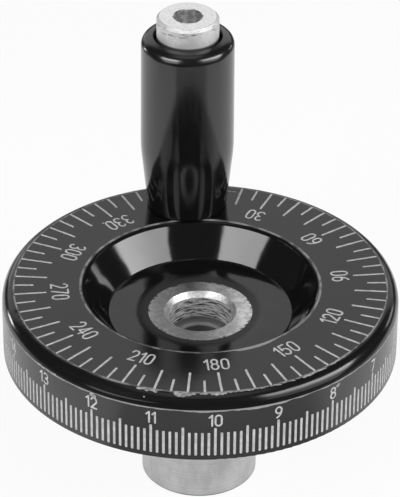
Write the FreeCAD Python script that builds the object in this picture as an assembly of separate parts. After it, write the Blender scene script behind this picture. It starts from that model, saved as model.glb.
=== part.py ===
"""Graduated handwheel with a revolving handle.

A black moulded disc has a turned face and rim, each engraved with a scale. A long steel hub is moulded into
its centre, and a handle turns freely on a steel spindle that is screwed into a bush moulded into the rim.

Frame: origin in the middle of the hub's lower seat, +Z up the wheel's axis, handle on +Y. Millimetres.
"""
import math
import os

import FreeCAD
import Part

# Wheel disc
WHEEL_DIA = 100.0
RIM_HEIGHT = 18.1  # graduated face down to the lower edge of the rim
FACE_SKIM = 0.07  # moulded skin turned off the face, which leaves a crisp edge where the rounding starts
RIM_SKIM = 0.02  # moulded skin turned off the rim
LIP_RADIUS = 3.7
RIM_EDGE_RADIUS = 0.5
MOULDED_WALL = 6.0
RIM_WALL = 7.0
SLEEVE_WALL = 5.5  # moulding round the hub, on the underside
DRAFT_DEG = 2.0
CAVITY_RADIUS = 1.6

# Conical recess in the face
RECESS_FLOOR_DIA = 46.6
RECESS_DEPTH = 7.95
RECESS_WALL_DEG = 51.0
RECESS_EDGE_RADIUS = 2.2
RECESS_CORNER_RADIUS = 0.6
COLLAR_WIDTH = 2.6  # shallow dip of the moulding round the hub's top
COLLAR_DROP = 0.25
COLLAR_RADIUS = 16.0

# Engraved scales, which count clockwise from the handle
MARK_DEPTH = 0.2
FACE_ZERO_DEG = -1.1  # first mark of the face, clockwise from the handle
FACE_MARK_COUNT = 72
FACE_LONG_EVERY = 2
FACE_MARK_WIDTH = 0.6
FACE_MARK_SHORT = 4.9
FACE_MARK_LONG = 8.1
FACE_MARK_INSET = 3.1  # rim to the outer ends of the marks
RIM_ZERO_DEG = 1.0  # first mark of the rim
RIM_MARK_COUNT = 200
RIM_LONG_EVERY = 5
RIM_MARK_WIDTH = 0.65
RIM_MARK_SHORT = 6.8
RIM_MARK_LONG = 8.25
RIM_MARK_INSET = 1.45  # lower edge of the rim to the lower ends of the marks

# Steel hub
HUB_BOSS_DIA = 29.6
HUB_BOSS_LENGTH = 38.0
HUB_SHANK_DIA = 26.4
HUB_GROOVE_WIDTH = 2.0
HUB_GROOVE_DEPTH = 1.4
HUB_EDGE_CHAMFER = 0.4
SHAFT_BORE_DIA = 12.0
SHAFT_BORE_CHAMFER = 0.6
COUNTERBORE_DIA = 15.8
COUNTERBORE_DEPTH = 7.9
COUNTERBORE_CHAMFER = 1.3

# Threaded bush for the handle
HANDLE_INSET = 11.0  # rim to handle axis
BUSH_DIA = 12.0
BUSH_LENGTH = 14.0
BUSH_FLOOR = 1.5
BUSH_GROOVE_WIDTH = 2.0
BUSH_GROOVE_DEPTH = 1.0
BUSH_BOSS_WALL = 3.5
BUSH_BOSS_FLOOR = 2.2

# Handle spindle
SPINDLE_DIA = 10.0
THREAD_DIA = 8.0
THREAD_LENGTH = 11.5
THREAD_CLEARANCE = 0.05
THREAD_CHAMFER = 0.8
RELIEF_WIDTH = 1.6
RELIEF_DEPTH = 0.8
HEAD_DIA = 16.0
HEAD_HEIGHT = 9.0
HEAD_PROUD = 5.4  # head above the end of the grip
HEAD_CHAMFER = 0.7
HEX_ACROSS_FLATS = 7.0
HEX_DEPTH = 5.0
HEX_POINT_DEG = 120.0
HEX_MOUTH_DIA = 7.7  # countersink at the mouth of the hexagon

# Revolving grip
GRIP_LENGTH = 49.7
GRIP_BASE_DIA = 20.7
GRIP_DIA = 24.2
GRIP_TOP_DIA = 23.9
GRIP_TAPER_LENGTH = 17.2
GRIP_BLEND_RADIUS = 45.0
GRIP_BASE_RADIUS = 0.5
GRIP_TOP_RADIUS = 2.5
GRIP_CROWN = 0.8  # fall of the grip's end from its mouth to its side
GRIP_FLARE = 0.35  # 45 degree flare at the mouth of the grip's recess
HEAD_GAP = 0.6  # radial room round the spindle's head
RUNNING_CLEARANCE = 0.05
AXIAL_PLAY = 0.3

# Levels and radii that follow from the sizes above
FACE_Z = HUB_BOSS_LENGTH + RIM_HEIGHT
FLOOR_Z = FACE_Z - RECESS_DEPTH
HUB_TOP_Z = FLOOR_Z - COLLAR_DROP
WHEEL_R = WHEEL_DIA / 2
FLOOR_R = RECESS_FLOOR_DIA / 2
SHANK_R = HUB_SHANK_DIA / 2
GRIP_BASE_Z = FACE_Z + AXIAL_PLAY
GRIP_TOP_Z = GRIP_BASE_Z + GRIP_LENGTH
HEAD_TOP_Z = GRIP_TOP_Z + HEAD_PROUD
HEAD_SEAT_Z = HEAD_TOP_Z - HEAD_HEIGHT
HANDLE_AXIS = FreeCAD.Vector(0, WHEEL_R - HANDLE_INSET, 0)
UP = FreeCAD.Vector(0, 0, 1)


def section_point(radius, height):
    """A point of a half section, which lies in the XZ plane."""
    return FreeCAD.Vector(radius, 0, height)


def corner_arc(before, corner, after, fillet):
    """Arc that rounds one corner of a section."""
    back = (before - corner).normalize()
    ahead = (after - corner).normalize()
    half_angle = back.getAngle(ahead) / 2
    setback = fillet / math.tan(half_angle)
    inward = (back + ahead).normalize()
    middle = corner + inward * (fillet / math.sin(half_angle) - fillet)
    return Part.Arc(corner + back * setback, middle, corner + ahead * setback)


def revolved(corners, axis=FreeCAD.Vector(0, 0, 0)):
    """Turn a closed half section about a vertical axis.

    Each corner is (radius, height) or (radius, height, fillet).
    """
    points = [section_point(*corner[:2]) for corner in corners]
    edges = []
    runs = []
    for index, corner in enumerate(corners):
        here = points[index]
        if len(corner) == 2:
            runs.append((here, here))
            continue
        edge = corner_arc(points[index - 1], here, points[(index + 1) % len(points)], corner[2]).toShape()
        edges.append(edge)
        runs.append((edge.firstVertex().Point, edge.lastVertex().Point))
    for index, (start, _) in enumerate(runs):
        edges.append(Part.makeLine(runs[index - 1][1], start))
    wire = Part.Wire(Part.sortEdges(edges)[0])
    solid = Part.Face(wire).revolve(FreeCAD.Vector(0, 0, 0), UP, 360)
    solid.translate(axis)
    return solid


def grooved_side(radius, low, high, width, depth):
    """Corners of a cylinder's side with one anchoring groove round its middle, from low to high."""
    groove_low = (low + high - width) / 2
    return [
        (radius, low),
        (radius, groove_low),
        (radius - depth, groove_low),
        (radius - depth, groove_low + width),
        (radius, groove_low + width),
        (radius, high),
    ]


def hub_blank():
    """Outside of the hub: plain boss below, thinner grooved shank inside the moulding."""
    boss_r = HUB_BOSS_DIA / 2
    corners = [
        (0, 0),
        (boss_r - HUB_EDGE_CHAMFER, 0),
        (boss_r, HUB_EDGE_CHAMFER),
        (boss_r, HUB_BOSS_LENGTH),
    ]
    corners += grooved_side(SHANK_R, HUB_BOSS_LENGTH, HUB_TOP_Z, HUB_GROOVE_WIDTH, HUB_GROOVE_DEPTH)
    corners.append((0, HUB_TOP_Z))
    return revolved(corners)


def hub():
    """Hub with its shaft bore, and the wide counterbore for the head of the fixing screw."""
    bore_r = SHAFT_BORE_DIA / 2
    counterbore_r = COUNTERBORE_DIA / 2
    step_z = HUB_TOP_Z - COUNTERBORE_DEPTH
    bore = revolved([
        (0, 0),
        (bore_r + SHAFT_BORE_CHAMFER, 0),
        (bore_r, SHAFT_BORE_CHAMFER),
        (bore_r, step_z - SHAFT_BORE_CHAMFER),
        (bore_r + SHAFT_BORE_CHAMFER, step_z),
        (counterbore_r, step_z),
        (counterbore_r, HUB_TOP_Z - COUNTERBORE_CHAMFER),
        (counterbore_r + COUNTERBORE_CHAMFER, HUB_TOP_Z),
        (0, HUB_TOP_Z),
    ])
    return hub_blank().cut(bore)


def bush_blank():
    """Outside of the threaded bush, with one anchoring groove."""
    low = FACE_Z - BUSH_LENGTH
    corners = [(0, low)]
    corners += grooved_side(BUSH_DIA / 2, low, FACE_Z, BUSH_GROOVE_WIDTH, BUSH_GROOVE_DEPTH)
    corners.append((0, FACE_Z))
    return revolved(corners, HANDLE_AXIS)


def handle_bush():
    """Bush with its blind threaded hole, drawn at the thread's outside diameter."""
    hole = Part.makeCylinder(THREAD_DIA / 2 + THREAD_CLEARANCE, BUSH_LENGTH - BUSH_FLOOR)
    hole.translate(HANDLE_AXIS + UP * (FACE_Z - BUSH_LENGTH + BUSH_FLOOR))
    return bush_blank().cut(hole)


def moulded_blank():
    """Solid disc as it leaves the mould, with its rounded lip and conical recess."""
    low = FACE_Z - RIM_HEIGHT
    skin_z = FACE_Z + FACE_SKIM
    outer_r = WHEEL_R + RIM_SKIM
    recess_top_r = FLOOR_R + (skin_z - FLOOR_Z) / math.tan(math.radians(RECESS_WALL_DEG))
    return revolved([
        (0, low),
        (outer_r, low, RIM_EDGE_RADIUS),
        (outer_r, skin_z, LIP_RADIUS),
        (recess_top_r, skin_z, RECESS_EDGE_RADIUS),
        (FLOOR_R, FLOOR_Z, RECESS_CORNER_RADIUS),
        (SHANK_R + COLLAR_WIDTH, FLOOR_Z, COLLAR_RADIUS),
        (SHANK_R, HUB_TOP_Z),
        (0, HUB_TOP_Z),
    ])


def underside_cavity():
    """Ring-shaped hollow under the disc, which keeps the moulded wall even."""
    low = FACE_Z - RIM_HEIGHT
    wall_angle = math.radians(RECESS_WALL_DEG)
    draft = math.tan(math.radians(DRAFT_DEG))
    roof_z = FACE_Z - MOULDED_WALL
    web_z = FLOOR_Z - MOULDED_WALL
    sleeve_r = HUB_BOSS_DIA / 2 + SLEEVE_WALL
    rim_r = WHEEL_R - RIM_WALL
    shell_r = FLOOR_R + MOULDED_WALL / math.sin(wall_angle) - MOULDED_WALL / math.tan(wall_angle)
    roof_r = shell_r + RECESS_DEPTH / math.tan(wall_angle)
    return revolved([
        (sleeve_r, low),
        (sleeve_r + (web_z - low) * draft, web_z, CAVITY_RADIUS),
        (shell_r, web_z, CAVITY_RADIUS),
        (roof_r, roof_z, CAVITY_RADIUS),
        (rim_r - (roof_z - low) * draft, roof_z, CAVITY_RADIUS),
        (rim_r, low),
    ])


def bush_boss():
    """Round boss in the cavity that the threaded bush is moulded into."""
    height = BUSH_LENGTH + BUSH_BOSS_FLOOR
    boss = Part.makeCylinder(BUSH_DIA / 2 + BUSH_BOSS_WALL, height)
    boss.translate(HANDLE_AXIS + UP * (FACE_Z - height))
    return boss


def scale_cuts(zero_deg, count, long_every, short_cut, long_cut):
    """One cut for each mark of a scale, from cuts drawn on +Y that are turned to their places."""
    cuts = []
    for index in range(count):
        cut = (short_cut if index % long_every else long_cut).copy()
        cut.rotate(FreeCAD.Vector(0, 0, 0), UP, -zero_deg - index * 360 / count)
        cuts.append(cut)
    return cuts


def face_mark(length):
    """Cut for one radial line in the face, on +Y."""
    cut = Part.makeBox(FACE_MARK_WIDTH, length, 2 * MARK_DEPTH)
    inner_r = WHEEL_R - FACE_MARK_INSET - length
    cut.translate(FreeCAD.Vector(-FACE_MARK_WIDTH / 2, inner_r, FACE_Z - MARK_DEPTH))
    return cut


def rim_mark(length):
    """Cut for one upright line in the rim, on +Y."""
    cut = Part.makeBox(RIM_MARK_WIDTH, 2 * MARK_DEPTH, length)
    low = FACE_Z - RIM_HEIGHT + RIM_MARK_INSET
    cut.translate(FreeCAD.Vector(-RIM_MARK_WIDTH / 2, WHEEL_R - MARK_DEPTH, low))
    return cut


def wheel_disc():
    """Moulded disc round the hub and the bush, hollow underneath, its face and rim turned and engraved."""
    turned = Part.makeCylinder(WHEEL_R, RIM_HEIGHT)
    turned.translate(UP * (FACE_Z - RIM_HEIGHT))
    disc = moulded_blank().common(turned)
    disc = disc.cut(underside_cavity().cut(bush_boss()))
    disc = disc.cut(hub_blank()).cut(bush_blank())
    face_cuts = face_mark(FACE_MARK_SHORT), face_mark(FACE_MARK_LONG)
    rim_cuts = rim_mark(RIM_MARK_SHORT), rim_mark(RIM_MARK_LONG)
    marks = scale_cuts(FACE_ZERO_DEG, FACE_MARK_COUNT, FACE_LONG_EVERY, *face_cuts)
    marks += scale_cuts(RIM_ZERO_DEG, RIM_MARK_COUNT, RIM_LONG_EVERY, *rim_cuts)
    return disc.cut(marks)


def hex_socket():
    """Countersunk hexagon socket in the spindle's head, with a drill point at its bottom and corners on X."""
    corner_r = HEX_ACROSS_FLATS / math.sqrt(3)
    ring = [FreeCAD.Vector(corner_r, 0, 0)]
    for turn in range(1, 7):
        angle = math.radians(60 * turn)
        ring.append(FreeCAD.Vector(corner_r * math.cos(angle), corner_r * math.sin(angle), 0))
    prism = Part.Face(Part.makePolygon(ring)).extrude(UP * HEX_DEPTH)
    flat_r = HEX_ACROSS_FLATS / 2
    point_depth = flat_r / math.tan(math.radians(HEX_POINT_DEG / 2))
    point = Part.makeCone(0, flat_r, point_depth)
    point.translate(UP * -point_depth)
    mouth_r = HEX_MOUTH_DIA / 2
    throat_r = 0.9 * flat_r
    mouth_depth = (mouth_r - throat_r) / math.tan(math.radians(HEX_POINT_DEG / 2))
    mouth = Part.makeCone(throat_r, mouth_r, mouth_depth)
    mouth.translate(UP * (HEX_DEPTH - mouth_depth))
    socket = prism.fuse([point, mouth])
    socket.translate(HANDLE_AXIS + UP * (HEAD_TOP_Z - HEX_DEPTH))
    return socket


def handle_spindle():
    """Shoulder screw that the grip turns on: threaded end, relief, bearing shank and socket head."""
    thread_r = THREAD_DIA / 2
    shank_r = SPINDLE_DIA / 2
    head_r = HEAD_DIA / 2
    end_z = FACE_Z - THREAD_LENGTH
    body = revolved([
        (0, end_z),
        (thread_r - THREAD_CHAMFER, end_z),
        (thread_r, end_z + THREAD_CHAMFER),
        (thread_r, FACE_Z - RELIEF_WIDTH),
        (thread_r - RELIEF_DEPTH, FACE_Z - RELIEF_WIDTH),
        (thread_r - RELIEF_DEPTH, FACE_Z),
        (shank_r, FACE_Z),
        (shank_r, HEAD_SEAT_Z),
        (head_r, HEAD_SEAT_Z),
        (head_r, HEAD_TOP_Z - HEAD_CHAMFER),
        (head_r - HEAD_CHAMFER, HEAD_TOP_Z),
        (0, HEAD_TOP_Z),
    ], HANDLE_AXIS)
    return body.cut(hex_socket())


def grip():
    """Revolving sleeve: tapered foot, slim barrel, domed end with a recess round the spindle's head."""
    bore_r = SPINDLE_DIA / 2 + RUNNING_CLEARANCE
    recess_r = HEAD_DIA / 2 + HEAD_GAP
    mouth_r = recess_r + GRIP_FLARE
    recess_z = HEAD_SEAT_Z - AXIAL_PLAY
    sleeve = revolved([
        (bore_r, GRIP_BASE_Z),
        (GRIP_BASE_DIA / 2, GRIP_BASE_Z, GRIP_BASE_RADIUS),
        (GRIP_DIA / 2, GRIP_BASE_Z + GRIP_TAPER_LENGTH, GRIP_BLEND_RADIUS),
        (GRIP_TOP_DIA / 2, GRIP_TOP_Z - GRIP_CROWN, GRIP_TOP_RADIUS),
        (mouth_r, GRIP_TOP_Z),
        (bore_r, GRIP_TOP_Z),
    ], HANDLE_AXIS)
    recess = revolved([
        (0, recess_z),
        (recess_r, recess_z),
        (recess_r, GRIP_TOP_Z - GRIP_FLARE),
        (mouth_r, GRIP_TOP_Z),
        (0, GRIP_TOP_Z),
    ], HANDLE_AXIS)
    return sleeve.cut(recess)


NODES = {
    "wheel_disc": wheel_disc,
    "hub": hub,
    "handle_bush": handle_bush,
    "handle_spindle": handle_spindle,
    "grip": grip,
}

os.makedirs("parts", exist_ok=True)
for name, make in NODES.items():
    make().exportStep("parts/" + name + ".step")
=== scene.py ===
"""Looks of the graduated handwheel: finishes, filled scales with their numbers, light and camera. Metres."""

import math
import random

import bmesh
import bpy
from mathutils import Matrix, Vector


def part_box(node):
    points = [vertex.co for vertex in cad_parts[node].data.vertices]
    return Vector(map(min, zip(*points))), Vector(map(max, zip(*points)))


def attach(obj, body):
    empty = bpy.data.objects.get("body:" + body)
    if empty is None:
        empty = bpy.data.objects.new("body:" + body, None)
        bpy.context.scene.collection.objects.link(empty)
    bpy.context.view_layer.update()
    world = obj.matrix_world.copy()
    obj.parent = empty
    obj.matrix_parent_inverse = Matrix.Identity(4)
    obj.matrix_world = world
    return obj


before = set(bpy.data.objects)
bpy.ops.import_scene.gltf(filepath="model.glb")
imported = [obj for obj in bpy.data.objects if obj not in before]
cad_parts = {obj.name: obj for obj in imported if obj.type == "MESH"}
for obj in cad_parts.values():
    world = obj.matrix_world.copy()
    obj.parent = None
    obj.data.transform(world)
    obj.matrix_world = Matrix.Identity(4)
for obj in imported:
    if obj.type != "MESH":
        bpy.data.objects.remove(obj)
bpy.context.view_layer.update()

MM = 0.001

# Places that the frame gives
DISC_LOW, DISC_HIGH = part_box("wheel_disc")
WHEEL_R = DISC_HIGH.x
FACE_Z = DISC_HIGH.z
RIM_Z = DISC_LOW.z
SPINDLE_LOW, SPINDLE_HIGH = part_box("handle_spindle")
HANDLE_Y = (SPINDLE_LOW.y + SPINDLE_HIGH.y) / 2
GRIP_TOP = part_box("grip")[1].z
HUB_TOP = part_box("hub")[1].z
SPINDLE_TOP = SPINDLE_HIGH.z

# Scales: angles run clockwise from the handle, seen from above
FACE_ZERO = math.radians(-1.1)
FACE_MARKS = 72
FACE_LONG_EVERY = 2
FACE_MARK_WIDTH = 0.6 * MM
FACE_MARK_SHORT = 4.9 * MM
FACE_MARK_LONG = 8.1 * MM
FACE_MARK_INSET = 3.1 * MM
FACE_NUMBER_STEP = 30
FACE_NUMBER_R = 35.5 * MM
RIM_ZERO = math.radians(1.0)
RIM_MARKS = 200
RIM_LONG_EVERY = 5
RIM_MARK_WIDTH = 0.65 * MM
RIM_MARK_SHORT = 6.8 * MM
RIM_MARK_LONG = 8.25 * MM
RIM_MARK_INSET = 1.45 * MM
RIM_NUMBERS = 20
RIM_NUMBER_DROP = 6.25 * MM  # face down to the middle of the rim's numbers
FILL_GAP = 0.01 * MM  # filler to the walls of its groove
FILL_LOW = -0.18 * MM
FILL_HIGH = -0.02 * MM
NUMBER_LOW = -0.03 * MM
NUMBER_HIGH = 0.015 * MM
STROKE_STEP = 0.003 * MM  # strokes of one number are stacked by this much where they cross
SMEAR_HIGH = 0.035 * MM  # smears lie over the numbers

# Digits: outside height and width, the line's width, and the room between digits
FACE_DIGIT = (4.6 * MM, 2.15 * MM, 0.47 * MM, 0.38 * MM)
RIM_DIGIT = (3.5 * MM, 1.95 * MM, 0.45 * MM, 0.35 * MM)

# Turned bands of the disc, and the moulded lip between them
FACE_BAND = (30.25 * MM, 47.04 * MM)
RIM_BAND_TOP = FACE_Z - 3.25 * MM
LIP_RADIUS = 3.7 * MM
LIP_CENTER = (WHEEL_R - 3.68 * MM, FACE_Z - 3.63 * MM)  # radius and height

# Black of the moulding, as moulded and where it is turned
MOULDED_BLACK = (0.005, 0.005, 0.0052, 1.0)
TURNED_BLACK = (0.028, 0.028, 0.0282, 1.0)

# Wear of the disc, and a painted highlight along the recess's edge at the front right. Turns are in radians,
# clockwise from the handle, and each pair is a soft start or end.
RUBBED_AND_LIT_FROM, RUBBED_AND_LIT_TO = (2.45, 2.74), (2.86, 3.04)
SCRATCHED_FROM, SCRATCHED_TO = (1.9, 2.1), (2.38, 2.44)
SCRATCH_SLANT = 6.5 * MM  # a scratch moves this far from the axis in one radian
SCRATCHES = ((14.4 * MM, 0.7 * MM), (15.3 * MM, 0.5 * MM))  # radius where drawn on to the handle, and width
DIP_FADE = (13.6 * MM, 17.2 * MM)  # radii between which the painted lighter band round the hub ends

# Metal pieces
SOCKET_R = 4.0 * MM  # out to the corners of the spindle's hexagon
HEAD_IN_GAP = (4.9 * MM, 5.5 * MM)  # below the spindle's top, where its side goes dark in the grip's recess
COUNTERBORE_R = 7.9 * MM
BORE_SHOWN = (20 * MM, 21 * MM)  # the hub's bore keeps the plain finish below this height
HUB_EDGE = (12.4 * MM, 13.1 * MM)  # radii between which the nicks of the hub's upper edge set in

# Filler left outside the lines: start and end in degrees, distance out from the face's edge, and width
EDGE_TRACES = (
    (197.4, 203.8, 0.4 * MM, 0.55 * MM),
    (188.2, 192.4, 0.75 * MM, 0.8 * MM),
    (187.1, 187.6, 0.5 * MM, 0.4 * MM),
    (183.6, 185.2, 0.4 * MM, 0.3 * MM),
    (178.0, 181.9, 0.5 * MM, 0.55 * MM),
    (150.3, 153.4, 0.35 * MM, 0.4 * MM),
    (145.7, 148.1, 0.3 * MM, 0.3 * MM),
    (135.8, 143.4, 0.12 * MM, 0.2 * MM),
)

# Filler left by the rim's numbers: the number, the smear's middle across and up from it, its length and width
RIM_TRACES = (
    (12, 0.5 * MM, 2.2 * MM, 0.9 * MM, 0.9 * MM),
    (8, 1.3 * MM, 1.5 * MM, 0.4 * MM, 0.8 * MM),
    (13, -1.05 * MM, 2.85 * MM, 9.6 * MM, 0.35 * MM),
    (14, -2.8 * MM, 1.0 * MM, 1.4 * MM, 0.8 * MM),
)

# Dabs that make a smear: length, then their width and their distance from dab to dab as shares
DAB_LENGTH = (0.4, 1.0)  # millimetres
DAB_WIDTH = (0.6, 1.3)
DAB_STEP = (0.7, 1.2)

# Small chips of filler along the face's edge, at the front right. Sizes are in millimetres.
CHIPS = 64
CHIP_SPAN = (139.0, 183.0)  # degrees
CHIP_OUT = (0.05, 0.4)
CHIP_HALF_LENGTH = (0.05, 0.25)
CHIP_WIDTH = (0.15, 0.3)

# Single marks: a run of filler down the lip, a dot of filler on the face, and a white dash on the face beside
# the grip, each at an angle in degrees
RUN_ANGLE, RUN_WIDTH, RUN_HIGH = 201.3, 0.45 * MM, 0.02 * MM
RUN_PATH = [(0, 0.5 * MM), (0.1 * MM, 2.4 * MM)]
DOT_ANGLE, DOT_R, DOT_WIDTH = 323.4, 37.9 * MM, 0.45 * MM
DOT_PATH = [(0, 0), (0.05 * MM, 0.1 * MM)]
DASH_ANGLE, DASH_R, DASH_WIDTH = 15.8, 44.9 * MM, 0.4 * MM
DASH_PATH = [(-0.9 * MM, 0), (0.9 * MM, 0.1 * MM)]

# Greys between which the filler varies, and the seed of the smears and chips
LINE_GREYS = (0.36, 0.5)
SMEAR_GREYS = (0.14, 0.4)
TRACE_SEED = 11

# Camera, measured from the middle of the face
CAMERA_AZIMUTH = math.radians(-5.461)
CAMERA_ELEVATION = math.radians(32.9225)
CAMERA_ROLL = math.radians(0.469)
CAMERA_DISTANCE = 785.1 * MM
CAMERA_ASIDE = -0.19 * MM
CAMERA_RISE = 8.895 * MM
SENSOR_HEIGHT = 24.0
LENS = 150.46
CLIP_END = 50.0

# Studio
LAMP_DISTANCE = 0.7  # from the middle of the face
LAMP_EDGE = 0.06  # share of a lamp's width and height that its soft edge takes
LAMP_FADE = (0.1, 0.9)  # shares of a lamp's width between which left_share rises to full
LAMP_RISE = (0.1, 0.8)  # shares of a lamp's height between which it rises to full brightness
FLAG_ENDS = ((-12, -72), (-62, -42))  # millimetres right of the camera's line, and behind the wheel's axis
FLAG_LOW, FLAG_HIGH = FACE_Z + 3 * MM, FACE_Z + 30 * MM
FLOOR_HALF = 4.0
FLOOR_Z = -0.02 * MM
FLOOR_SEEN = 0.9  # share of plain white in what the camera sees: the rest is lit paper, with the shadow
FLOOR_MIRRORED = 0.98  # the same share in mirrors
PANEL_LEVEL, OVERHEAD_LEVEL, WALL_LEVEL = 0.88, 0.65, 0.06

# Floor in mirrors, with painted shade: the wheel's shadow close to it, a dark area in front, and darkening
# far out. Each pair is a soft start or end.
FRONT_LEFT, FRONT_RIGHT = (-0.6, -0.53), (0.54, 0.84)  # sides of the dark area, in radians from the handle
FRONT_REACH, FRONT_DARK = (130 * MM, 205 * MM), (0.86, 0.38)  # from the handle, and how dark it is there
FRONT_START = (72 * MM, 84 * MM)  # from the wheel's axis
CLOSE_REACH, CLOSE_LEVEL = (55 * MM, 90 * MM), 0.5
FAR_REACH, FAR_LEVEL = (170 * MM, 260 * MM), 0.12
BEHIND, BEHIND_REACH = (-20 * MM, 120 * MM), 150 * MM  # behind the wheel the far end is this much farther out

# World, by the parts of a direction: z up, y away from the camera. Each pair is a soft start or end.
PANEL_FROM, PANEL_TO = (0.1, 0.2), (0.62, 0.72)
PANEL_BEHIND = (0.62, 0.74)
OVERHEAD_FROM = (0.9, 0.98)


def grey(value):
    """An opaque neutral colour."""
    return (value, value, value, 1.0)


class Tree:
    """A node tree with short ways to add and link nodes."""

    def __init__(self, tree):
        self.tree = tree
        tree.nodes.clear()

    def feed(self, socket, value):
        if isinstance(value, bpy.types.NodeSocket):
            self.tree.links.new(value, socket)
        else:
            socket.default_value = value

    def add(self, kind, inputs=None, **settings):
        node = self.tree.nodes.new(kind)
        for name, value in settings.items():
            setattr(node, name, value)
        for name, value in (inputs or {}).items():
            self.feed(node.inputs[name], value)
        return node

    def math(self, operation, *values):
        node = self.add("ShaderNodeMath", operation=operation)
        for socket, value in zip(node.inputs, values):
            self.feed(socket, value)
        return node.outputs[0]

    def ramp(self, value, low, high, out_low=0.0, out_high=1.0):
        """Smooth step from out_low to out_high as value goes from low to high."""
        inputs = {"Value": value, "From Min": low, "From Max": high, "To Min": out_low, "To Max": out_high}
        return self.add("ShaderNodeMapRange", inputs, interpolation_type="SMOOTHSTEP").outputs[0]

    def mix(self, factor, first, second):
        node = self.add("ShaderNodeMix", data_type="RGBA")
        self.feed(node.inputs[0], factor)
        self.feed(node.inputs[6], first)
        self.feed(node.inputs[7], second)
        return node.outputs[2]

    def product(self, *values):
        """All the values multiplied."""
        result = values[0]
        for value in values[1:]:
            result = self.math("MULTIPLY", result, value)
        return result

    def flat(self, x, y):
        return self.add("ShaderNodeCombineXYZ", {"X": x, "Y": y}).outputs[0]

    def length(self, x, y):
        """Distance of a flat point from the origin."""
        return self.add("ShaderNodeVectorMath", {0: self.flat(x, y)}, operation="LENGTH").outputs["Value"]

    def unrolled(self, turn, across, z, along):
        """Flat coordinates on an unrolled cylinder, stretched by across and along, for streaks."""
        return self.flat(self.math("MULTIPLY", turn, across), self.math("MULTIPLY", z, along))

    def place(self):
        """Object coordinates, their parts, and the distance from the wheel's axis."""
        point = self.add("ShaderNodeTexCoord").outputs["Object"]
        x, y, z = self.add("ShaderNodeSeparateXYZ", {"Vector": point}).outputs
        return point, x, y, z, self.length(x, y)

    def noise(self, point, scale, detail=2.0, roughness=0.5):
        inputs = {"Vector": point, "Scale": scale, "Detail": detail, "Roughness": roughness}
        return self.add("ShaderNodeTexNoise", inputs).outputs[0]

    def line_noise(self, value, scale, detail=2.0):
        """Uneven bands along one measure, such as the radius on a turned face."""
        inputs = {"W": value, "Scale": scale, "Detail": detail}
        return self.add("ShaderNodeTexNoise", inputs, noise_dimensions="1D").outputs[0]

    def bump(self, height, strength, distance, normal=None):
        node = self.add("ShaderNodeBump", {"Height": height, "Strength": strength, "Distance": distance})
        if normal is not None:
            self.feed(node.inputs["Normal"], normal)
        return node.outputs[0]

    def surface(self, **inputs):
        shader = self.add("ShaderNodeBsdfPrincipled", {key.replace("_", " "): v for key, v in inputs.items()})
        self.add("ShaderNodeOutputMaterial", {"Surface": shader.outputs[0]})


def new_material(name):
    material = bpy.data.materials.new(name)
    material.use_nodes = True
    return material, Tree(material.node_tree)


def edge_line(tree, measure, at, width):
    """Mask of a thin line where a measure passes one value."""
    aside = tree.math("ABSOLUTE", tree.math("SUBTRACT", measure, at))
    return tree.ramp(tree.math("DIVIDE", aside, width), 0.25, 1.0, 1.0, 0.0)


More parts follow.
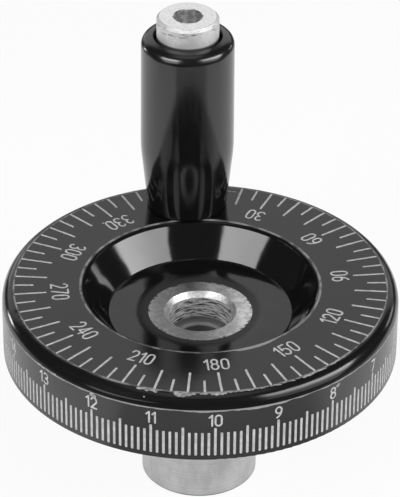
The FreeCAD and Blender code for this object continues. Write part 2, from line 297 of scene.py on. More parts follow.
def disc_material():
    """Glossy black moulding, finely turned on the graduated face and rim, with edges painted lighter, partly
    as wear and partly as their highlights.
    """
    material, tree = new_material("black_duroplast_disc")
    point, x, y, z, radius = tree.place()
    turn = tree.math("ARCTAN2", x, y)
    on_top = tree.ramp(z, FACE_Z - 0.2 * MM, FACE_Z - 0.1 * MM)
    on_face = tree.ramp(z, FACE_Z - 0.05 * MM, FACE_Z - 0.02 * MM)
    below_lip = tree.ramp(z, RIM_BAND_TOP - 0.05 * MM, RIM_BAND_TOP + 0.05 * MM, 1.0, 0.0)
    on_rim = tree.math("MULTIPLY", tree.ramp(radius, WHEEL_R - 0.06 * MM, WHEEL_R - 0.02 * MM), below_lip)
    moulded = tree.math("SUBTRACT", 1.0, tree.math("MAXIMUM", on_top, on_rim))
    cloud = tree.noise(point, 90.0, 3.0)
    patches = tree.noise(point, 260.0, 3.0)
    waves = tree.math("MULTIPLY", tree.noise(point, 130.0, 1.0), moulded)
    face_lines = tree.math("MULTIPLY", tree.line_noise(radius, 9000.0), on_face)
    rim_lines = tree.math("MULTIPLY", tree.line_noise(z, 7000.0), on_rim)
    lines = tree.math("ADD", tree.math("MULTIPLY", face_lines, 0.3), rim_lines)

    # Light lines along the turned edges, partly chipped skin and partly painted highlights of the crisp
    # edges, widest at the front of the rim's upper edge
    chips = tree.math("MULTIPLY", tree.ramp(cloud, 0.42, 0.58), tree.ramp(y, -30 * MM, -20 * MM, 1.0, 0.0))
    inner_edge = edge_line(tree, radius, FACE_BAND[0], tree.math("MULTIPLY_ADD", chips, 0.4 * MM, 0.46 * MM))
    outer_edge = edge_line(tree, radius, FACE_BAND[1], tree.math("MULTIPLY_ADD", chips, 0.2 * MM, 0.3 * MM))
    face_edges = tree.math("MULTIPLY", tree.math("MAXIMUM", inner_edge, outer_edge), on_top)
    face_edges = tree.math("MULTIPLY", face_edges, tree.ramp(patches, 0.36, 0.6, 0.25, 1.0))
    drop = tree.math("SUBTRACT", RIM_BAND_TOP, z)
    front = tree.ramp(y, -49 * MM, -42 * MM, 0.4 * MM, 0.0)
    reach = tree.ramp(patches, 0.35, 0.65, 0.16 * MM, 0.42 * MM)
    reach = tree.math("ADD", reach, tree.math("MULTIPLY", tree.ramp(cloud, 0.4, 0.6), front))
    feather = tree.math("MULTIPLY", tree.math("LESS_THAN", drop, reach), on_rim)
    wear_and_highlight = tree.math("MAXIMUM", tree.math("MULTIPLY", face_edges, 0.9), feather)

    # At the front right: a stretch of the recess's edge abraded and painted lighter as its highlight, and two
    # scratches from there down its wall
    rubbed_and_lit = tree.math("MULTIPLY", tree.ramp(turn, *RUBBED_AND_LIT_FROM), tree.ramp(turn, *RUBBED_AND_LIT_TO, 1.0, 0.0))
    rubbed_and_lit_reach = tree.math("MULTIPLY", rubbed_and_lit, tree.ramp(cloud, 0.4, 0.6, 0.9 * MM, 2.0 * MM))
    over = tree.math("SUBTRACT", tree.math("SUBTRACT", radius, FACE_BAND[0]), rubbed_and_lit_reach)
    over = tree.math("MULTIPLY", tree.ramp(over, -0.12 * MM, 0.06 * MM, 1.0, 0.0), on_top)
    wear_and_highlight = tree.math("MAXIMUM", wear_and_highlight, tree.math("MULTIPLY", over, tree.ramp(rubbed_and_lit, 0.02, 0.1)))
    slant = tree.math("MULTIPLY_ADD", turn, -SCRATCH_SLANT, radius)
    scratched = tree.product(
        tree.ramp(turn, *SCRATCHED_FROM), tree.ramp(turn, *SCRATCHED_TO, 1.0, 0.0),
        moulded, tree.ramp(patches, 0.3, 0.5, 0.4, 1.0),
    )
    for at, width in SCRATCHES:
        scratch = tree.math("MULTIPLY", edge_line(tree, slant, at, width), scratched)
        wear_and_highlight = tree.math("MAXIMUM", wear_and_highlight, scratch)

    # A lighter, rougher band in the shallow dip round the hub, painted to lift the dark ring that the dip
    # reflects, and a lip that many hands have dulled
    in_dip = tree.math("MULTIPLY", tree.ramp(radius, *DIP_FADE, 1.0, 0.0), moulded)
    past_face = tree.ramp(radius, FACE_BAND[1] + 0.06 * MM, FACE_BAND[1] + 0.36 * MM)
    on_lip = tree.math("MULTIPLY", past_face, moulded)
    skin = tree.math("MULTIPLY_ADD", cloud, 0.06, 0.06)
    skin = tree.math("MULTIPLY_ADD", in_dip, 0.3, skin)
    skin = tree.math("MULTIPLY_ADD", on_lip, 0.06, skin)
    turned = tree.math("ADD", tree.math("MULTIPLY", on_face, 0.04), tree.math("MULTIPLY", on_rim, 0.14))
    rough = tree.math("ADD", tree.math("ADD", skin, turned), tree.math("MULTIPLY", wear_and_highlight, 0.3))
    black = tree.mix(on_rim, MOULDED_BLACK, TURNED_BLACK)
    black = tree.mix(in_dip, black, grey(0.022))
    tree.surface(
        Base_Color=tree.mix(wear_and_highlight, black, grey(0.25)),
        Roughness=rough,
        IOR=1.5,
        Normal=tree.bump(lines, 0.12, 0.01 * MM, tree.bump(waves, 0.4, 0.3 * MM)),
    )
    return material


def grip_material():
    """Glossy black moulding with a faint orange-peel skin."""
    material, tree = new_material("black_duroplast_grip")
    point, _, _, z, _ = tree.place()
    cloud = tree.noise(point, 120.0, 3.0)
    peel = tree.noise(point, 420.0, 1.0)
    on_end = tree.ramp(z, GRIP_TOP - 3.0 * MM, GRIP_TOP - 2.0 * MM)
    tree.surface(
        Base_Color=MOULDED_BLACK,
        Roughness=tree.math("MULTIPLY_ADD", on_end, 0.07, tree.math("MULTIPLY_ADD", cloud, 0.06, 0.11)),
        IOR=1.66,
        Normal=tree.bump(peel, 0.05, 0.05 * MM),
    )
    return material


def spindle_material():
    """Bright zinc plating over turned steel, with lines round the spindle's own axis."""
    material, tree = new_material("zinc_steel_spindle")
    point, x, y, z, _ = tree.place()
    aside = tree.math("SUBTRACT", y, HANDLE_Y)
    radius = tree.length(x, aside)
    depth = tree.math("SUBTRACT", SPINDLE_TOP, z)
    cloud = tree.noise(point, 500.0, 4.0)
    pits = tree.noise(point, 1500.0, 4.0, 0.7)
    scars = tree.noise(point, 700.0, 3.0, 0.6)
    inside = tree.ramp(radius, SOCKET_R - 0.1 * MM, SOCKET_R + 0.1 * MM, 1.0, 0.0)
    in_socket = tree.math("MULTIPLY", inside, tree.ramp(depth, 0.05 * MM, 0.3 * MM))
    outside = tree.math("SUBTRACT", 1.0, inside)
    on_side = tree.math("MULTIPLY", tree.ramp(depth, 0.1 * MM, 0.5 * MM), outside)
    in_gap = tree.math("MULTIPLY", tree.ramp(depth, *HEAD_IN_GAP), outside)
    lines = tree.math("ADD", tree.line_noise(radius, 5000.0), tree.line_noise(z, 3500.0))

    # Stained zinc, with dark wisps on the side under the rounded edge, and shadow in the gap to the grip
    bright = tree.mix(tree.ramp(pits, 0.3, 0.7), grey(0.84), grey(0.97))
    blots = tree.noise(point, 330.0, 4.0, 0.6)
    stains = tree.math("MULTIPLY", tree.ramp(blots, 0.4, 0.56, 1.0, 0.0), on_side)
    bright = tree.mix(stains, bright, grey(0.84))
    turn = tree.math("ARCTAN2", x, tree.math("SUBTRACT", 0.0, aside))
    drawn = tree.unrolled(turn, 3 * MM, z, 1.8)
    wisps = tree.ramp(tree.noise(drawn, 900.0, 4.0, 0.6), 0.54, 0.64)
    under_edge = tree.product(
        tree.ramp(depth, 0.3 * MM, 0.6 * MM), tree.ramp(depth, 1.6 * MM, 3 * MM, 1.0, 0.0), outside)
    bright = tree.mix(tree.math("MULTIPLY", wisps, under_edge), bright, grey(0.3))
    bright = tree.mix(in_gap, bright, grey(0.15))
    dull = tree.mix(tree.ramp(tree.noise(point, 800.0, 3.0), 0.42, 0.6), grey(0.64), grey(0.98))

    # Smooth on top and in the socket, satin on the rounded edge and the side
    rough = tree.math("MULTIPLY_ADD", cloud, 0.2, 0.15)
    rounded = tree.math("MULTIPLY", tree.ramp(depth, 0.01 * MM, 0.1 * MM), outside)
    rough = tree.math("MULTIPLY_ADD", rounded, 0.42, tree.math("MULTIPLY_ADD", in_socket, 0.08, rough))
    dents = tree.math("MULTIPLY", tree.math("MULTIPLY", scars, on_side), 8.0)
    height = tree.math("ADD", tree.math("MULTIPLY_ADD", pits, 3.0, lines), dents)
    tree.surface(
        Base_Color=tree.mix(in_socket, bright, dull),
        Metallic=1.0,
        Roughness=rough,
        Normal=tree.bump(height, 0.3, 0.02 * MM),
    )
    return material


def hub_material():
    """Turned steel with bright zinc: fine rings on top, a bright chamfer, and a roughly bored counterbore."""
    material, tree = new_material("zinc_steel_hub")
    point, x, y, z, radius = tree.place()
    turn = tree.math("ARCTAN2", y, x)
    cloud = tree.noise(point, 1600.0, 3.0)
    inside = tree.ramp(radius, COUNTERBORE_R + 0.03 * MM, COUNTERBORE_R + 0.07 * MM, 1.0, 0.0)
    in_bore = tree.math("MULTIPLY", inside, tree.ramp(z, *BORE_SHOWN))
    chatter = tree.noise(tree.unrolled(turn, 3.5 * MM, z, 3.2), 700.0, 5.0, 0.7)
    streaks = tree.math("MULTIPLY", tree.ramp(chatter, 0.42, 0.53, 1.0, 0.0), in_bore)
    lines = tree.math("ADD", tree.line_noise(radius, 5200.0, 3.0), tree.line_noise(z, 5200.0, 3.0))
    height = tree.math("ADD", lines, tree.math("MULTIPLY", tree.math("MULTIPLY", chatter, in_bore), 30.0))
    mottles = tree.ramp(tree.noise(point, 620.0, 4.0, 0.65), 0.38, 0.62)
    bright = tree.mix(mottles, grey(0.74), grey(0.97))

    # Dark tool marks in the counterbore, and painted shade at its low end
    dull = tree.mix(streaks, grey(0.84), grey(0.06))
    bore_shade = tree.ramp(z, HUB_TOP - 7.3 * MM, HUB_TOP - 6.6 * MM, 1.0, 0.0)
    dull = tree.mix(bore_shade, dull, grey(0.25))

    # Boss below the disc: faint wisps and rings, and painted shade along its lower edge at the floor
    on_boss = tree.ramp(z, RIM_Z - 0.2 * MM, RIM_Z + 0.2 * MM, 1.0, 0.0)
    wisps = tree.ramp(tree.noise(tree.unrolled(turn, 13 * MM, z, 0.4), 170.0, 5.0, 0.65), 0.32, 0.68)
    boss = tree.mix(wisps, grey(0.77), grey(0.98))
    grain = tree.ramp(tree.line_noise(z, 2200.0, 3.0), 0.35, 0.65, 0.82, 1.0)
    boss = tree.mix(tree.ramp(z, 0.4 * MM, 0.9 * MM, 0.7, 0.0), boss, grey(0.2))
    boss = tree.mix(grain, grey(0.45), boss)
    bright = tree.mix(on_boss, bright, boss)

    # Nicks in the upper edge, and a scuffed chamfer
    on_top = tree.ramp(z, HUB_TOP - 0.1 * MM, HUB_TOP - 0.02 * MM)
    nicks = tree.math("MULTIPLY", tree.ramp(radius, *HUB_EDGE), on_top)
    nicks = tree.math("MULTIPLY", tree.ramp(tree.noise(point, 900.0, 3.0), 0.52, 0.6), nicks)
    bright = tree.mix(nicks, bright, grey(0.15))
    on_chamfer = tree.math("MULTIPLY", tree.ramp(z, HUB_TOP - 1.5 * MM, HUB_TOP - 1.3 * MM),
                           tree.math("SUBTRACT", 1.0, on_top))
    scuffed = tree.ramp(tree.noise(point, 800.0, 4.0, 0.7), 0.4, 0.6, 0.8, 0.25)
    bright = tree.mix(tree.math("MULTIPLY", on_chamfer, scuffed), bright, grey(0.45))
    rough = tree.math("MULTIPLY_ADD", cloud, 0.15, tree.ramp(on_top, 0.0, 1.0, 0.42, 0.3))
    rough = tree.math("MULTIPLY_ADD", tree.math("MULTIPLY", mottles, on_top), -0.08, rough)
    tree.surface(
        Base_Color=tree.mix(in_bore, bright, dull),
        Metallic=1.0,
        Roughness=tree.math("ADD", rough, tree.math("MULTIPLY", in_bore, 0.2)),
        Normal=tree.bump(height, 0.25, 0.01 * MM),
    )
    return material


def bush_material():
    """Turned brass of the hidden bush."""
    material, tree = new_material("bush_brass")
    point, _, _, z, _ = tree.place()
    tree.surface(
        Base_Color=tree.mix(tree.noise(point, 300.0), (0.6, 0.42, 0.18, 1.0), (0.78, 0.58, 0.3, 1.0)),
        Metallic=1.0,
        Roughness=0.35,
        Normal=tree.bump(tree.line_noise(z, 5000.0), 0.2, 0.01 * MM),
    )
    return material


def fill_material(name, low, high):
    """White filler that varies between two greys: bright in the lines, and duller where it was smeared."""
    material, tree = new_material(name)
    point, _, _, _, _ = tree.place()
    patches = tree.ramp(tree.noise(point, 900.0, 3.0), 0.3, 0.7)
    tree.surface(
        Base_Color=tree.mix(patches, grey(low), grey(high)),
        Roughness=0.55,
        Normal=tree.bump(patches, 0.3, 0.02 * MM),
    )
    return material


def arc(center, radii, start, end, steps=14):
    """Points along an elliptical arc between two angles in degrees."""
    points = []
    for index in range(steps + 1):
        angle = math.radians(start + (end - start) * index / steps)
        points.append((center[0] + radii[0] * math.cos(angle), center[1] + radii[1] * math.sin(angle)))
    return points


# Middle lines of the digits in a unit box. Each is (points, closed).
NARROW = 0.45  # width of a 1 against the other digits
DIGITS = {
    "0": [(arc((0.5, 0.72), (0.5, 0.28), 0, 180) + arc((0.5, 0.28), (0.5, 0.28), 180, 360), True)],
    "1": [([(1.0, 1.0), (1.0, 0.0)], False), ([(0.0, 0.78), (1.0, 1.0)], False)],
    "2": [
        (arc((0.5, 0.72), (0.5, 0.28), 165, -35) + [(0.0, 0.0)], False),
        ([(0.0, 0.0), (1.0, 0.0)], False),
    ],
    "3": [
        (arc((0.47, 0.76), (0.47, 0.24), 150, -90), False),
        (arc((0.47, 0.26), (0.53, 0.26), 90, -150), False),
    ],
    "4": [
        ([(0.72, 0.0), (0.72, 1.0)], False),
        ([(0.72, 1.0), (0.0, 0.28)], False),
        ([(0.0, 0.28), (1.0, 0.28)], False),
    ],
    "5": [
        ([(0.95, 1.0), (0.12, 1.0)], False),
        ([(0.12, 1.0), (0.06, 0.55)], False),
        (arc((0.46, 0.31), (0.54, 0.31), 140, -150), False),
    ],
    "6": [
        (arc((0.5, 0.3), (0.5, 0.3), 0, 360, 28)[:-1], True),
        (arc((1.05, 0.3), (1.05, 0.7), 180, 104), False),
    ],
    "7": [([(0.0, 1.0), (1.0, 1.0)], False), ([(1.0, 1.0), (0.35, 0.0)], False)],
    "8": [
        (arc((0.5, 0.765), (0.44, 0.235), 0, 360, 28)[:-1], True),
        (arc((0.5, 0.275), (0.5, 0.275), 0, 360, 28)[:-1], True),
    ],
    "9": [
        (arc((0.5, 0.7), (0.5, 0.3), 0, 360, 28)[:-1], True),
        (arc((-0.05, 0.7), (1.05, 0.7), 0, -76), False),
    ],
}


def side_steps(points, closed):
    """Unit normals of a flat path, one for each point."""
    normals = []
    last = len(points) - 1
    for index in range(len(points)):
        before = points[index - 1] if index or closed else points[0]
        after = points[(index + 1) % len(points)] if index < last or closed else points[last]
        along = Vector(after) - Vector(before)
        normals.append(Vector((-along.y, along.x)).normalized())
    return normals


def cap_points(tip, normal, half_width, steps=6):
    """Inner points of a half circle round the end of a path, from its left side to its right."""
    points = []
    for index in range(1, steps):
        turn = Matrix.Rotation(-math.pi * index / steps, 2)
        points.append(Vector(tip) + turn @ normal * half_width)
    return points


def add_stroke(mesh, points, closed, width, low, high, place):
    """Add one closed strip of filler along a flat path. place maps (across, along, height) to the frame."""
    half = width / 2
    normals = side_steps(points, closed)
    left = [Vector(p) + n * half for p, n in zip(points, normals)]
    right = [Vector(p) - n * half for p, n in zip(points, normals)]

    def layer(height, flat):
        return [mesh.verts.new(place(p.x, p.y, height)) for p in flat]

    levels = [(layer(height, left), layer(height, right)) for height in (low, high)]
    (low_left, low_right), (high_left, high_right) = levels
    count = len(points)
    for index in range(count if closed else count - 1):
        after = (index + 1) % count
        mesh.faces.new((high_left[index], high_right[index], high_right[after], high_left[after]))
        mesh.faces.new((low_left[after], low_right[after], low_right[index], low_left[index]))
        mesh.faces.new((low_left[index], high_left[index], high_left[after], low_left[after]))
        mesh.faces.new((high_right[index], low_right[index], low_right[after], high_right[after]))
    if closed:
        return
    ends = (
        (cap_points(points[-1], normals[-1], half), -1, (low_left, high_left), (low_right, high_right)),
        (cap_points(points[0], -normals[0], half), 0, (low_right, high_right), (low_left, high_left)),
    )
    for flat, index, (first_low, first_high), (second_low, second_high) in ends:
        low_ring = [first_low[index], *layer(low, flat), second_low[index]]
        high_ring = [first_high[index], *layer(high, flat), second_high[index]]
        mesh.faces.new(high_ring[::-1])
        mesh.faces.new(low_ring)
        for step in range(len(low_ring) - 1):
            mesh.faces.new((low_ring[step], high_ring[step], high_ring[step + 1], low_ring[step + 1]))


def add_number(mesh, text, digit, low, high, place):
    """Add the strokes of a number, centred across and along its place."""
    height, width, line, room = digit
    widths = [(width - line) * (NARROW if character == "1" else 1.0) for character in text]
    across = -(sum(widths) + (len(text) - 1) * (line + room)) / 2
    lift = 0.0
    for character, body in zip(text, widths):
        for path, closed in DIGITS[character]:
            points = [(across + x * body, (y - 0.5) * (height - line)) for x, y in path]
            add_stroke(mesh, points, closed, line, low, high + lift, place)
            lift += STROKE_STEP
        across += body + line + room


def face_place(angle, radius):
    """Places on the face: along points to the wheel's axis, and across follows from that."""
    outward = Vector((math.sin(angle), math.cos(angle), 0))
    rightward = Vector((-outward.y, outward.x, 0))

    def place(across, along, height):
        return outward * (radius - along) + rightward * across + Vector((0, 0, FACE_Z + height))

    return place


def rim_place(angle, level):
    """Places on the rim: along points up, and across follows the rim."""

    def place(across, along, height):
        turned = angle - across / WHEEL_R
        reach = WHEEL_R + height
        return Vector((reach * math.sin(turned), reach * math.cos(turned), level + along))

    return place


def lip_place(angle):
    """Places on the lip: along runs outward from the face's edge, and across follows the edge."""
    start = math.asin((FACE_BAND[1] - LIP_CENTER[0]) / LIP_RADIUS)

    def place(across, along, height):
        turned = angle - across / FACE_BAND[1]
        tilt = start + along / LIP_RADIUS
        reach = LIP_CENTER[0] + (LIP_RADIUS + height) * math.sin(tilt)
        level = LIP_CENTER[1] + (LIP_RADIUS + height) * math.cos(tilt)
        return Vector((reach * math.sin(turned), reach * math.cos(turned), level))

    return place


def finish_piece(mesh, name, material):
    """Turn a mesh into a piece that rides on the wheel."""
    bmesh.ops.recalc_face_normals(mesh, faces=mesh.faces)
    data = bpy.data.meshes.new(name)
    mesh.to_mesh(data)
    mesh.free()
    piece = bpy.data.objects.new(name, data)
    bpy.context.scene.collection.objects.link(piece)
    data.materials.append(material)
    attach(piece, "wheel")
    return piece


def face_marks(material):
    """Filler in the engraved marks of the face."""
    mesh = bmesh.new()
    half = FACE_MARK_WIDTH / 2
    for index in range(FACE_MARKS):
        length = FACE_MARK_SHORT if index % FACE_LONG_EVERY else FACE_MARK_LONG
        place = face_place(FACE_ZERO + 2 * math.pi * index / FACE_MARKS, WHEEL_R - FACE_MARK_INSET)
        path = [(0, half), (0, length - half)]
        add_stroke(mesh, path, False, FACE_MARK_WIDTH - FILL_GAP, FILL_LOW, FILL_HIGH, place)
    return finish_piece(mesh, "face_marks", material)


def rim_marks(material):
    """Filler in the engraved marks of the rim."""
    mesh = bmesh.new()
    half = RIM_MARK_WIDTH / 2
    for index in range(RIM_MARKS):
        length = RIM_MARK_SHORT if index % RIM_LONG_EVERY else RIM_MARK_LONG
        place = rim_place(RIM_ZERO + 2 * math.pi * index / RIM_MARKS, RIM_Z + RIM_MARK_INSET)
        path = [(0, half), (0, length - half)]
        add_stroke(mesh, path, False, RIM_MARK_WIDTH - FILL_GAP, FILL_LOW, FILL_HIGH, place)
    return finish_piece(mesh, "rim_marks", material)


def face_numbers(material):
    """Degrees on the face. The handle hides the place of the zero, which is left out."""
    mesh = bmesh.new()
    for degrees in range(FACE_NUMBER_STEP, 360, FACE_NUMBER_STEP):
        place = face_place(FACE_ZERO + math.radians(degrees), FACE_NUMBER_R)
        add_number(mesh, str(degrees), FACE_DIGIT, NUMBER_LOW, NUMBER_HIGH, place)
    return finish_piece(mesh, "face_numbers", material)


def rim_numbers(material):
    """Numbers of the rim's long scale."""
    mesh = bmesh.new()
    for value in range(RIM_NUMBERS):
        place = rim_place(RIM_ZERO + 2 * math.pi * value / RIM_NUMBERS, FACE_Z - RIM_NUMBER_DROP)
        add_number(mesh, str(value), RIM_DIGIT, NUMBER_LOW, NUMBER_HIGH, place)
    return finish_piece(mesh, "rim_numbers", material)


def smear(mesh, dice, place, length, out, width):
    """A broken smear: short dabs of uneven width, one after another along a place."""
    along = -length / 2
    while along < length / 2:
        dab = min(dice.uniform(*DAB_LENGTH) * MM, length)
        slant = dice.uniform(-0.25, 0.25) * width
        middle = out + dice.uniform(-0.3, 0.3) * width
        path = [(along, middle - slant), (along + dab, middle + slant)]
        add_stroke(mesh, path, False, width * dice.uniform(*DAB_WIDTH), NUMBER_LOW, SMEAR_HIGH, place)
        along += dab * dice.uniform(*DAB_STEP)


def chip(mesh, dice):
    """One short dab at a place on the face's edge."""
    place = lip_place(math.radians(dice.uniform(*CHIP_SPAN)))
    out = dice.uniform(*CHIP_OUT) * MM
    half = dice.uniform(*CHIP_HALF_LENGTH) * MM
    path = [(-half, out), (half, out + dice.uniform(-0.1, 0.1) * MM)]
    add_stroke(mesh, path, False, dice.uniform(*CHIP_WIDTH) * MM, NUMBER_LOW, SMEAR_HIGH, place)


def filler_traces(material):
    """Filler that was not wiped off: smears and chips on the face's edge, smears on the rim, a run and a dot;
    and a white dash on the face.
    """
    mesh = bmesh.new()
    dice = random.Random(TRACE_SEED)
    for start, end, out, width in EDGE_TRACES:
        place = lip_place(math.radians((start + end) / 2))
        smear(mesh, dice, place, math.radians(end - start) * FACE_BAND[1], out, width)
    for value, across, along, length, width in RIM_TRACES:
        turn = RIM_ZERO + 2 * math.pi * value / RIM_NUMBERS - across / WHEEL_R
        place = rim_place(turn, FACE_Z - RIM_NUMBER_DROP)
        smear(mesh, dice, place, length, along, width)
    for _ in range(CHIPS):
        chip(mesh, dice)
    run = lip_place(math.radians(RUN_ANGLE))
    add_stroke(mesh, RUN_PATH, False, RUN_WIDTH, NUMBER_LOW, RUN_HIGH, run)
    dot = face_place(math.radians(DOT_ANGLE), DOT_R)
    add_stroke(mesh, DOT_PATH, False, DOT_WIDTH, NUMBER_LOW, NUMBER_HIGH, dot)
    dash = face_place(math.radians(DASH_ANGLE), DASH_R)
    add_stroke(mesh, DASH_PATH, False, DASH_WIDTH, NUMBER_LOW, NUMBER_HIGH, dash)
    return finish_piece(mesh, "filler_traces", material)


def dress_nodes():
    """Give the solids their finishes."""
    finishes = {
        "wheel_disc": disc_material(),
        "grip": grip_material(),
        "hub": hub_material(),
        "handle_spindle": spindle_material(),
        "handle_bush": bush_material(),
    }
    for node, material in finishes.items():
        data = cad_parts[node].data
        data.materials.clear()
        data.materials.append(material)


def mirrored_level(tree):
    """How bright the floor is in mirrors: white, with painted shade in front, close to the wheel and far from
    it.
    """
    _, x, y, _, radius = tree.place()
    ahead = tree.math("SUBTRACT", HANDLE_Y, y)
    side = tree.math("ARCTAN2", x, ahead)
    in_front = tree.product(
        tree.ramp(side, *FRONT_LEFT), tree.ramp(side, *FRONT_RIGHT, 1.0, 0.0),
        tree.ramp(tree.length(x, ahead), *FRONT_REACH, *FRONT_DARK),
        tree.ramp(radius, *FRONT_START),
    )
    close = tree.ramp(radius, *CLOSE_REACH, CLOSE_LEVEL, 1.0)
    away = tree.math("SUBTRACT", radius, tree.ramp(y, *BEHIND, 0.0, BEHIND_REACH))
    far = tree.ramp(away, *FAR_REACH, 1.0, FAR_LEVEL)
    return tree.product(tree.math("SUBTRACT", 1.0, in_front), close, far)


def make_floor():
    """Pale floor that shows white to the camera, white with painted shade in mirrors, and keeps the shadow.
    """
    data = bpy.data.meshes.new("floor")
    signs = [(-1, -1), (1, -1), (1, 1), (-1, 1)]
    data.from_pydata([(x * FLOOR_HALF, y * FLOOR_HALF, FLOOR_Z) for x, y in signs], [], [(0, 1, 2, 3)])
    floor = bpy.data.objects.new("floor", data)
    bpy.context.scene.collection.objects.link(floor)
    material, tree = new_material("floor_white")
    rays = tree.add("ShaderNodeLightPath").outputs
    mirrored = tree.math("MAXIMUM", rays["Is Glossy Ray"], rays["Is Transmission Ray"])
    paper = tree.add("ShaderNodeBsdfDiffuse", {"Color": grey(0.9)})
    level = tree.math("MAXIMUM", rays["Is Camera Ray"], mirrored_level(tree))
    glow = tree.add("ShaderNodeEmission", {"Color": grey(1.0), "Strength": level})
    seen = tree.math("MULTIPLY", rays["Is Camera Ray"], FLOOR_SEEN)
    share = tree.math("MAXIMUM", seen, tree.math("MULTIPLY", mirrored, FLOOR_MIRRORED))
    mixed = tree.add("ShaderNodeMixShader", {0: share, 1: paper.outputs[0], 2: glow.outputs[0]})
    tree.add("ShaderNodeOutputMaterial", {"Surface": mixed.outputs[0]})
    data.materials.append(material)


def make_world():
    """Studio surround: a white panel behind, a dim one overhead, and dark walls."""
    world = bpy.data.worlds.new("studio")
    bpy.context.scene.world = world
    world.use_nodes = True
    tree = Tree(world.node_tree)
    direction = tree.add("ShaderNodeTexCoord").outputs["Generated"]
    _, y, z = tree.add("ShaderNodeSeparateXYZ", {"Vector": direction}).outputs
    panel = tree.math("MULTIPLY", tree.ramp(z, *PANEL_FROM), tree.ramp(z, *PANEL_TO, 1.0, 0.0))
    behind = tree.math("MULTIPLY", tree.ramp(y, *PANEL_BEHIND), panel)
    overhead = tree.ramp(z, *OVERHEAD_FROM)
    behind = tree.math("MULTIPLY", behind, PANEL_LEVEL)
    level = tree.math("MAXIMUM", behind, tree.math("MULTIPLY", overhead, OVERHEAD_LEVEL))
    level = tree.math("MAXIMUM", level, WALL_LEVEL)
    background = tree.add("ShaderNodeBackground", {"Color": grey(1.0), "Strength": level})
    tree.add("ShaderNodeOutputWorld", {"Surface": background.outputs[0]})


def add_softbox(name, azimuth, elevation, roll, size, radiance, left_share=1.0, skirt=0.0, low_share=1.0):
    """Rectangular lamp with soft edges. Its azimuth is from the camera, to the right.

    left_share is the brightness at its left end against its right end. A skirt makes it longer below, and
    low_share is the brightness of that part, which rises to full over most of the lamp's own height.
    """
    width, height = size
    tall = height + skirt
    data = bpy.data.lights.new(name, "AREA")
    data.shape = "RECTANGLE"
    data.size, data.size_y = width, tall
    data.energy = radiance * width * tall * math.pi
    data.use_nodes = True
    tree = Tree(data.node_tree)
    point = tree.add("ShaderNodeNewGeometry").outputs["Parametric"]
    across, along, _ = tree.add("ShaderNodeSeparateXYZ", {"Vector": point}).outputs
    fade = tree.ramp(across, *LAMP_FADE, left_share, 1.0)
    rise = [(skirt + share * height) / tall for share in LAMP_RISE]
    fade = tree.math("MULTIPLY", tree.ramp(along, *rise, low_share, 1.0), fade)
    for place in (across, along):
        edge = tree.math("SUBTRACT", 0.5, tree.math("ABSOLUTE", tree.math("SUBTRACT", place, 0.5)))
        fade = tree.math("MULTIPLY", tree.ramp(edge, 0.0, LAMP_EDGE), fade)
    glow = tree.add("ShaderNodeEmission", {"Color": grey(1.0), "Strength": fade})
    tree.add("ShaderNodeOutputLight", {"Surface": glow.outputs[0]})
    lamp = bpy.data.objects.new(name, data)
    turn, tilt = math.radians(azimuth) + CAMERA_AZIMUTH, math.radians(elevation)
    back = Vector((math.sin(turn) * math.cos(tilt), -math.cos(turn) * math.cos(tilt), math.sin(tilt)))
    facing = back.to_track_quat("Z", "Y").to_matrix() @ Matrix.Rotation(math.radians(roll), 3, "Z")
    spot = Vector((0, 0, FACE_Z)) + back * LAMP_DISTANCE
    lamp.matrix_world = Matrix.Translation(spot) @ facing.to_4x4() @ Matrix.Translation((0, -skirt / 2, 0))
    lamp.visible_camera = False
    bpy.context.scene.collection.objects.link(lamp)
    return lamp


def make_lights():
    """Two large lamps, three small ones low at the sides and behind, and a front fill that isn't mirrored."""
    add_softbox("softbox_right", azimuth=65.3, elevation=29.5, roll=-23.0, size=(0.67, 0.385), radiance=10.0,
                left_share=0.7, skirt=0.16, low_share=0.14)
    add_softbox("softbox_left", azimuth=-47.7, elevation=33.5, roll=17.6, size=(0.52, 0.385), radiance=8.8,
                left_share=0.85, skirt=0.2, low_share=0.28)
    add_softbox("strip_left", azimuth=-123, elevation=1, roll=0, size=(0.08, 0.1), radiance=13.0)
    add_softbox("fill_left", azimuth=-152, elevation=6, roll=0, size=(0.2, 0.14), radiance=1.0)
    add_softbox("fill_right", azimuth=128, elevation=8, roll=0, size=(0.16, 0.1), radiance=2.5)
    front = add_softbox("fill_front", azimuth=5, elevation=35, roll=0, size=(0.8, 0.6), radiance=1.1)
    front.visible_glossy = False


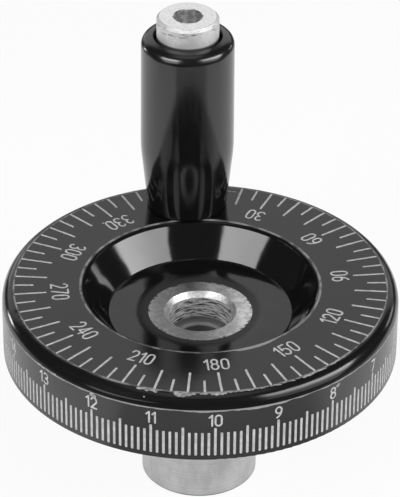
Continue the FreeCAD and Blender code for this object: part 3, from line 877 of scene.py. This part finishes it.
def make_flag():
    """Black card by the front of the wheel that keeps the left lamp out of the lip. It casts no shadow."""
    turn = Matrix.Rotation(CAMERA_AZIMUTH, 3, "Z")
    ends = [turn @ Vector((x * MM, y * MM, 0)) for x, y in FLAG_ENDS]
    corners = [ends[0].to_3d(), ends[1].to_3d(), ends[1].to_3d(), ends[0].to_3d()]
    for corner, level in zip(corners, (FLAG_LOW, FLAG_LOW, FLAG_HIGH, FLAG_HIGH)):
        corner.z = level
    data = bpy.data.meshes.new("flag")
    data.from_pydata(corners, [], [(0, 1, 2, 3)])
    flag = bpy.data.objects.new("flag", data)
    bpy.context.scene.collection.objects.link(flag)
    material, tree = new_material("flag_black")
    cloth = tree.add("ShaderNodeBsdfDiffuse", {"Color": grey(0.01)})
    tree.add("ShaderNodeOutputMaterial", {"Surface": cloth.outputs[0]})
    data.materials.append(material)
    flag.visible_camera = False
    flag.visible_diffuse = False
    flag.visible_shadow = False


def make_camera():
    """Camera at the photograph's angle, placed from the middle of the face."""
    turn, tilt = CAMERA_AZIMUTH, CAMERA_ELEVATION
    right = Vector((math.cos(turn), math.sin(turn), 0))
    ahead = Vector((-math.sin(turn) * math.cos(tilt), math.cos(turn) * math.cos(tilt), -math.sin(tilt)))
    up = right.cross(ahead)
    spot = Vector((0, 0, FACE_Z)) - ahead * CAMERA_DISTANCE + right * CAMERA_ASIDE + up * CAMERA_RISE
    rolled_right = right * math.cos(CAMERA_ROLL) + up * math.sin(CAMERA_ROLL)
    rolled_up = up * math.cos(CAMERA_ROLL) - right * math.sin(CAMERA_ROLL)
    data = bpy.data.cameras.new("camera")
    data.sensor_fit = "VERTICAL"
    data.sensor_height = SENSOR_HEIGHT
    data.lens = LENS
    data.clip_end = CLIP_END
    camera = bpy.data.objects.new("camera", data)
    bpy.context.scene.collection.objects.link(camera)
    axes = Matrix((rolled_right, rolled_up, -ahead)).transposed()
    camera.matrix_world = Matrix.Translation(spot) @ axes.to_4x4()
    bpy.context.scene.camera = camera


dress_nodes()
white = fill_material("scale_white", *LINE_GREYS)
face_marks(white)
rim_marks(white)
face_numbers(white)
rim_numbers(white)
filler_traces(fill_material("smeared_white", *SMEAR_GREYS))
make_floor()
make_world()
make_lights()
make_flag()
make_camera()
bpy.context.scene.view_settings.view_transform = "Standard"
